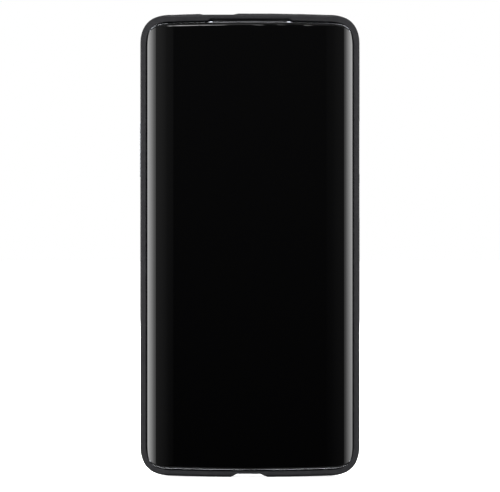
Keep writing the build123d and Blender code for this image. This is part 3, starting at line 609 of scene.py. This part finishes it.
# ---- Small front and rear pieces --------------------------------------------
def front_camera():
    """Stepped baffle and coated element behind the pop-up camera's window."""
    centre = centre_of("popup_window")
    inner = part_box("popup_window")[1][1] / MM
    steps = [(2.35, inner + 0.19), (2.35, inner + 0.03)]
    for i in range(5):
        radius = 2.2 - 0.2 * i
        steps += [(radius, inner + 0.03 + 0.02 * i), (radius, inner + 0.05 + 0.02 * i)]
    steps += [(1.2, inner + 0.15), (1.2, inner + 0.19)]
    baffle = lathe("front_lens_baffle", centre, steps)
    give(baffle, plastic_paint().material)
    element = lathe("front_lens_glass", centre, dome(1.15, inner + 0.17, -0.13, inner + 0.19))
    give(element, coated_lens_paint("coating_front", (0.35, 0.5, 1.0)).material)
    for piece, slot in ((baffle, "black_plastic"), (element, "island_glass")):
        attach(piece, "popup_camera")


def flash_lens():
    """Ringed plastic lens over the flash."""
    centre = centre_of("flash_led")
    centre.z = 109.8 * MM
    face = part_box("flash_led")[1][1] / MM
    profile = [(0.0, face - 0.1), (2.35, face - 0.1), (2.35, face + 0.03)]
    rings = 11
    for i in range(rings):
        outer = 2.3 - 2.2 * i / rings
        profile += [(outer, face + 0.07), (outer - 0.17, face + 0.02)]
    profile.append((0.0, face + 0.06))
    lens = lathe("flash_fresnel", centre, profile)
    give(lens, flash_paint().material)
    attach(lens, "root")


def port_contacts():
    """Two rows of twelve plated contacts on the charging port's tongue."""
    shape = bmesh.new()
    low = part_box("usb_c_port")[0][2] + 1.25 * MM
    for side in (-0.755, -0.045):
        for i in range(12):
            x = (-2.75 + 0.5 * i) * MM
            made = bmesh.ops.create_cube(shape, size=1.0)
            length = (3.2 if i in (0, 3, 8, 11) else 2.6) * MM
            for corner in made["verts"]:
                corner.co.x = x + corner.co.x * 0.26 * MM
                corner.co.y = (side + corner.co.y * 0.03) * MM
                corner.co.z = low + (corner.co.z + 0.5) * length
    bmesh.ops.bevel(shape, geom=shape.edges[:], offset=0.008 * MM, segments=2, affect="EDGES")
    contacts = finish_mesh("port_contacts", shape)
    give(contacts, gold_paint().material)
    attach(contacts, "root")


# ---- Stage and light --------------------------------------------------------
FLOOR_SIZE = 14.0
# Distance within which the floor's glow is dimmed, a painted shade round the phone
SHADOW_REACH = 0.5


def add_floor():
    """Pale floor that reads as white; its glow dims near the phone, a painted shade that lets a faint contact
    shadow show.
    """
    shape = bmesh.new()
    bmesh.ops.create_grid(shape, x_segments=2, y_segments=2, size=FLOOR_SIZE)
    floor = finish_mesh("floor", shape)
    floor.location.z = CAD_BOUNDS[0][2] - 0.05 * MM
    material = bpy.data.materials.new("floor_pale")
    material.use_nodes = True
    nodes = material.node_tree.nodes
    links = material.node_tree.links
    shader = nodes["Principled BSDF"]
    shader.inputs["Base Color"].default_value = (0.8, 0.8, 0.8, 1)
    shader.inputs["Roughness"].default_value = 0.9
    shader.inputs["Emission Color"].default_value = (1, 1, 1, 1)
    near = nodes.new("ShaderNodeTexGradient")
    near.gradient_type = "SPHERICAL"
    scale = nodes.new("ShaderNodeVectorMath")
    scale.operation = "MULTIPLY"
    scale.inputs[1].default_value = (1 / SHADOW_REACH,) * 3
    links.new(nodes.new("ShaderNodeTexCoord").outputs["Object"], scale.inputs[0])
    links.new(scale.outputs["Vector"], near.inputs["Vector"])
    # Glow 1.0 far off and 0.8 close to the phone: painted shade that lets the contact shadow show
    glow_with_painted_shade = map_range(material.node_tree, near.outputs["Fac"], 0.0, 0.7, 1.0, 0.8)
    links.new(glow_with_painted_shade, shader.inputs["Emission Strength"])
    noise = nodes.new("ShaderNodeTexNoise")
    noise.inputs["Scale"].default_value = 3.0
    ramp = nodes.new("ShaderNodeValToRGB")
    ramp.color_ramp.elements[0].color = (0.8, 0.8, 0.8, 1)
    ramp.color_ramp.elements[1].color = (0.83, 0.83, 0.83, 1)
    links.new(noise.outputs["Fac"], ramp.inputs["Fac"])
    links.new(ramp.outputs["Color"], shader.inputs["Base Color"])
    give(floor, material)
    floor.visible_glossy = False
    floor.visible_diffuse = False
    floor.visible_shadow = False


def add_world():
    """White surroundings for the camera; dim surroundings for light and reflections."""
    world = bpy.data.worlds.new("studio")
    bpy.context.scene.world = world
    world.use_nodes = True
    tree = world.node_tree
    nodes = tree.nodes
    links = tree.links
    background = nodes["Background"]
    background.inputs["Color"].default_value = (1, 1, 1, 1)
    axes = split_axes(tree, nodes.new("ShaderNodeTexCoord").outputs["Generated"])
    left, right, fade, base = [map_range(tree, axes[axis], *span) for axis, span in FILLS]
    fill = math_node(tree, "MULTIPLY_ADD", math_node(tree, "ADD", left, right), fade, base)
    path = nodes.new("ShaderNodeLightPath")
    choice = nodes.new("ShaderNodeMix")
    choice.inputs["B"].default_value = 1.0
    links.new(path.outputs["Is Camera Ray"], choice.inputs["Factor"])
    links.new(fill, choice.inputs["A"])
    links.new(choice.outputs["Result"], background.inputs["Strength"])


# axis, from low, from high, value at low, value at high: left and right glow, their fade, base
FILLS = (
    ("X", (-0.22, -0.035, 0.36, 0.0)),
    ("X", (0.035, 0.22, 0.0, 0.12)),
    ("Z", (-0.085, 0.085, 0.5, 1.0)),
    ("Z", (-0.085, 0.085, 0.008, 0.05)),
)


def softbox(name, place, aim, width, height, radiance, across=(1.0, 1.0), up=(1.0, 1.0)):
    """Rectangular light; across and up scale its brightness from one edge to the other."""
    data = bpy.data.lights.new(name, "AREA")
    data.shape = "RECTANGLE"
    data.size = width
    data.size_y = height
    data.energy = radiance * math.pi * width * height
    data.use_nodes = True
    tree = data.node_tree
    axes = split_axes(tree, tree.nodes.new("ShaderNodeNewGeometry").outputs["Parametric"])
    scales = [map_range(tree, axes[axis], 0.0, 1.0, *span) for axis, span in (("X", across), ("Y", up))]
    away = math_node(tree, "ABSOLUTE", math_node(tree, "SUBTRACT", axes["Y"], 0.5))
    edge = map_range(tree, away, SOFT_FROM, 0.5, 1.0, 0.0)
    strength = math_node(tree, "MULTIPLY", math_node(tree, "MULTIPLY", *scales), edge)
    tree.links.new(strength, tree.nodes["Emission"].inputs["Strength"])
    light = bpy.data.objects.new(name, data)
    bpy.context.collection.objects.link(light)
    light.location = place
    toward = Vector(aim) - Vector(place)
    light.rotation_euler = toward.to_track_quat("-Z", "Y").to_euler()
    light.visible_camera = False
    return light


def add_lights():
    """Two tall side boxes that brighten outwards, one overhead, two behind."""
    for name, flip, inner, radiance, across, up in SIDE_BOXES:
        ends = []
        for angle in (inner, OUTER_ANGLE):
            turn = math.radians(angle)
            ends.append(Vector((flip * (BAND_X + math.sin(turn)), -math.cos(turn), MIDDLE_Z)))
        place = (ends[0] + ends[1]) / 2
        width = (ends[1] - ends[0]).length
        softbox(name, place, (flip * BAND_X, 0, MIDDLE_Z), width, SIDE_HEIGHT, radiance, across, up)
    for name, place, width, height, radiance in OTHER_BOXES:
        softbox(name, place, (0, 0, MIDDLE_Z), width, height, radiance)


# Part of a box's height, from its middle, where it starts to fade out
SOFT_FROM = 0.3
BAND_X = 0.036
MIDDLE_Z = 0.09
OUTER_ANGLE = 76.0
SIDE_HEIGHT = 0.95
# name, side, angle of the inner edge, brightness, scale across, scale upwards
SIDE_BOXES = (
    ("left_box", -1, 16.0, 12.0, (1.0, 0.04), (1.0, 1.0)),
    ("right_box", 1, 18.0, 13.0, (0.04, 1.0), (0.15, 1.55)),
)
# name, place, width, height, brightness
OTHER_BOXES = (
    ("top_box", (0, -0.6, 1.05), 2.0, 0.5, 14.0),
    ("rear_box", (0.5, 1.5, 0.9), 1.6, 1.2, 12.0),
    ("rear_side", (-1.2, 0.9, 0.4), 0.9, 1.1, 8.0),
)


bpy.context.scene.view_settings.view_transform = "Standard"
add_camera()
add_world()
add_floor()
add_lights()
paint_nodes()
rim_beads()
rear_cameras()
front_camera()
flash_lens()
port_contacts()
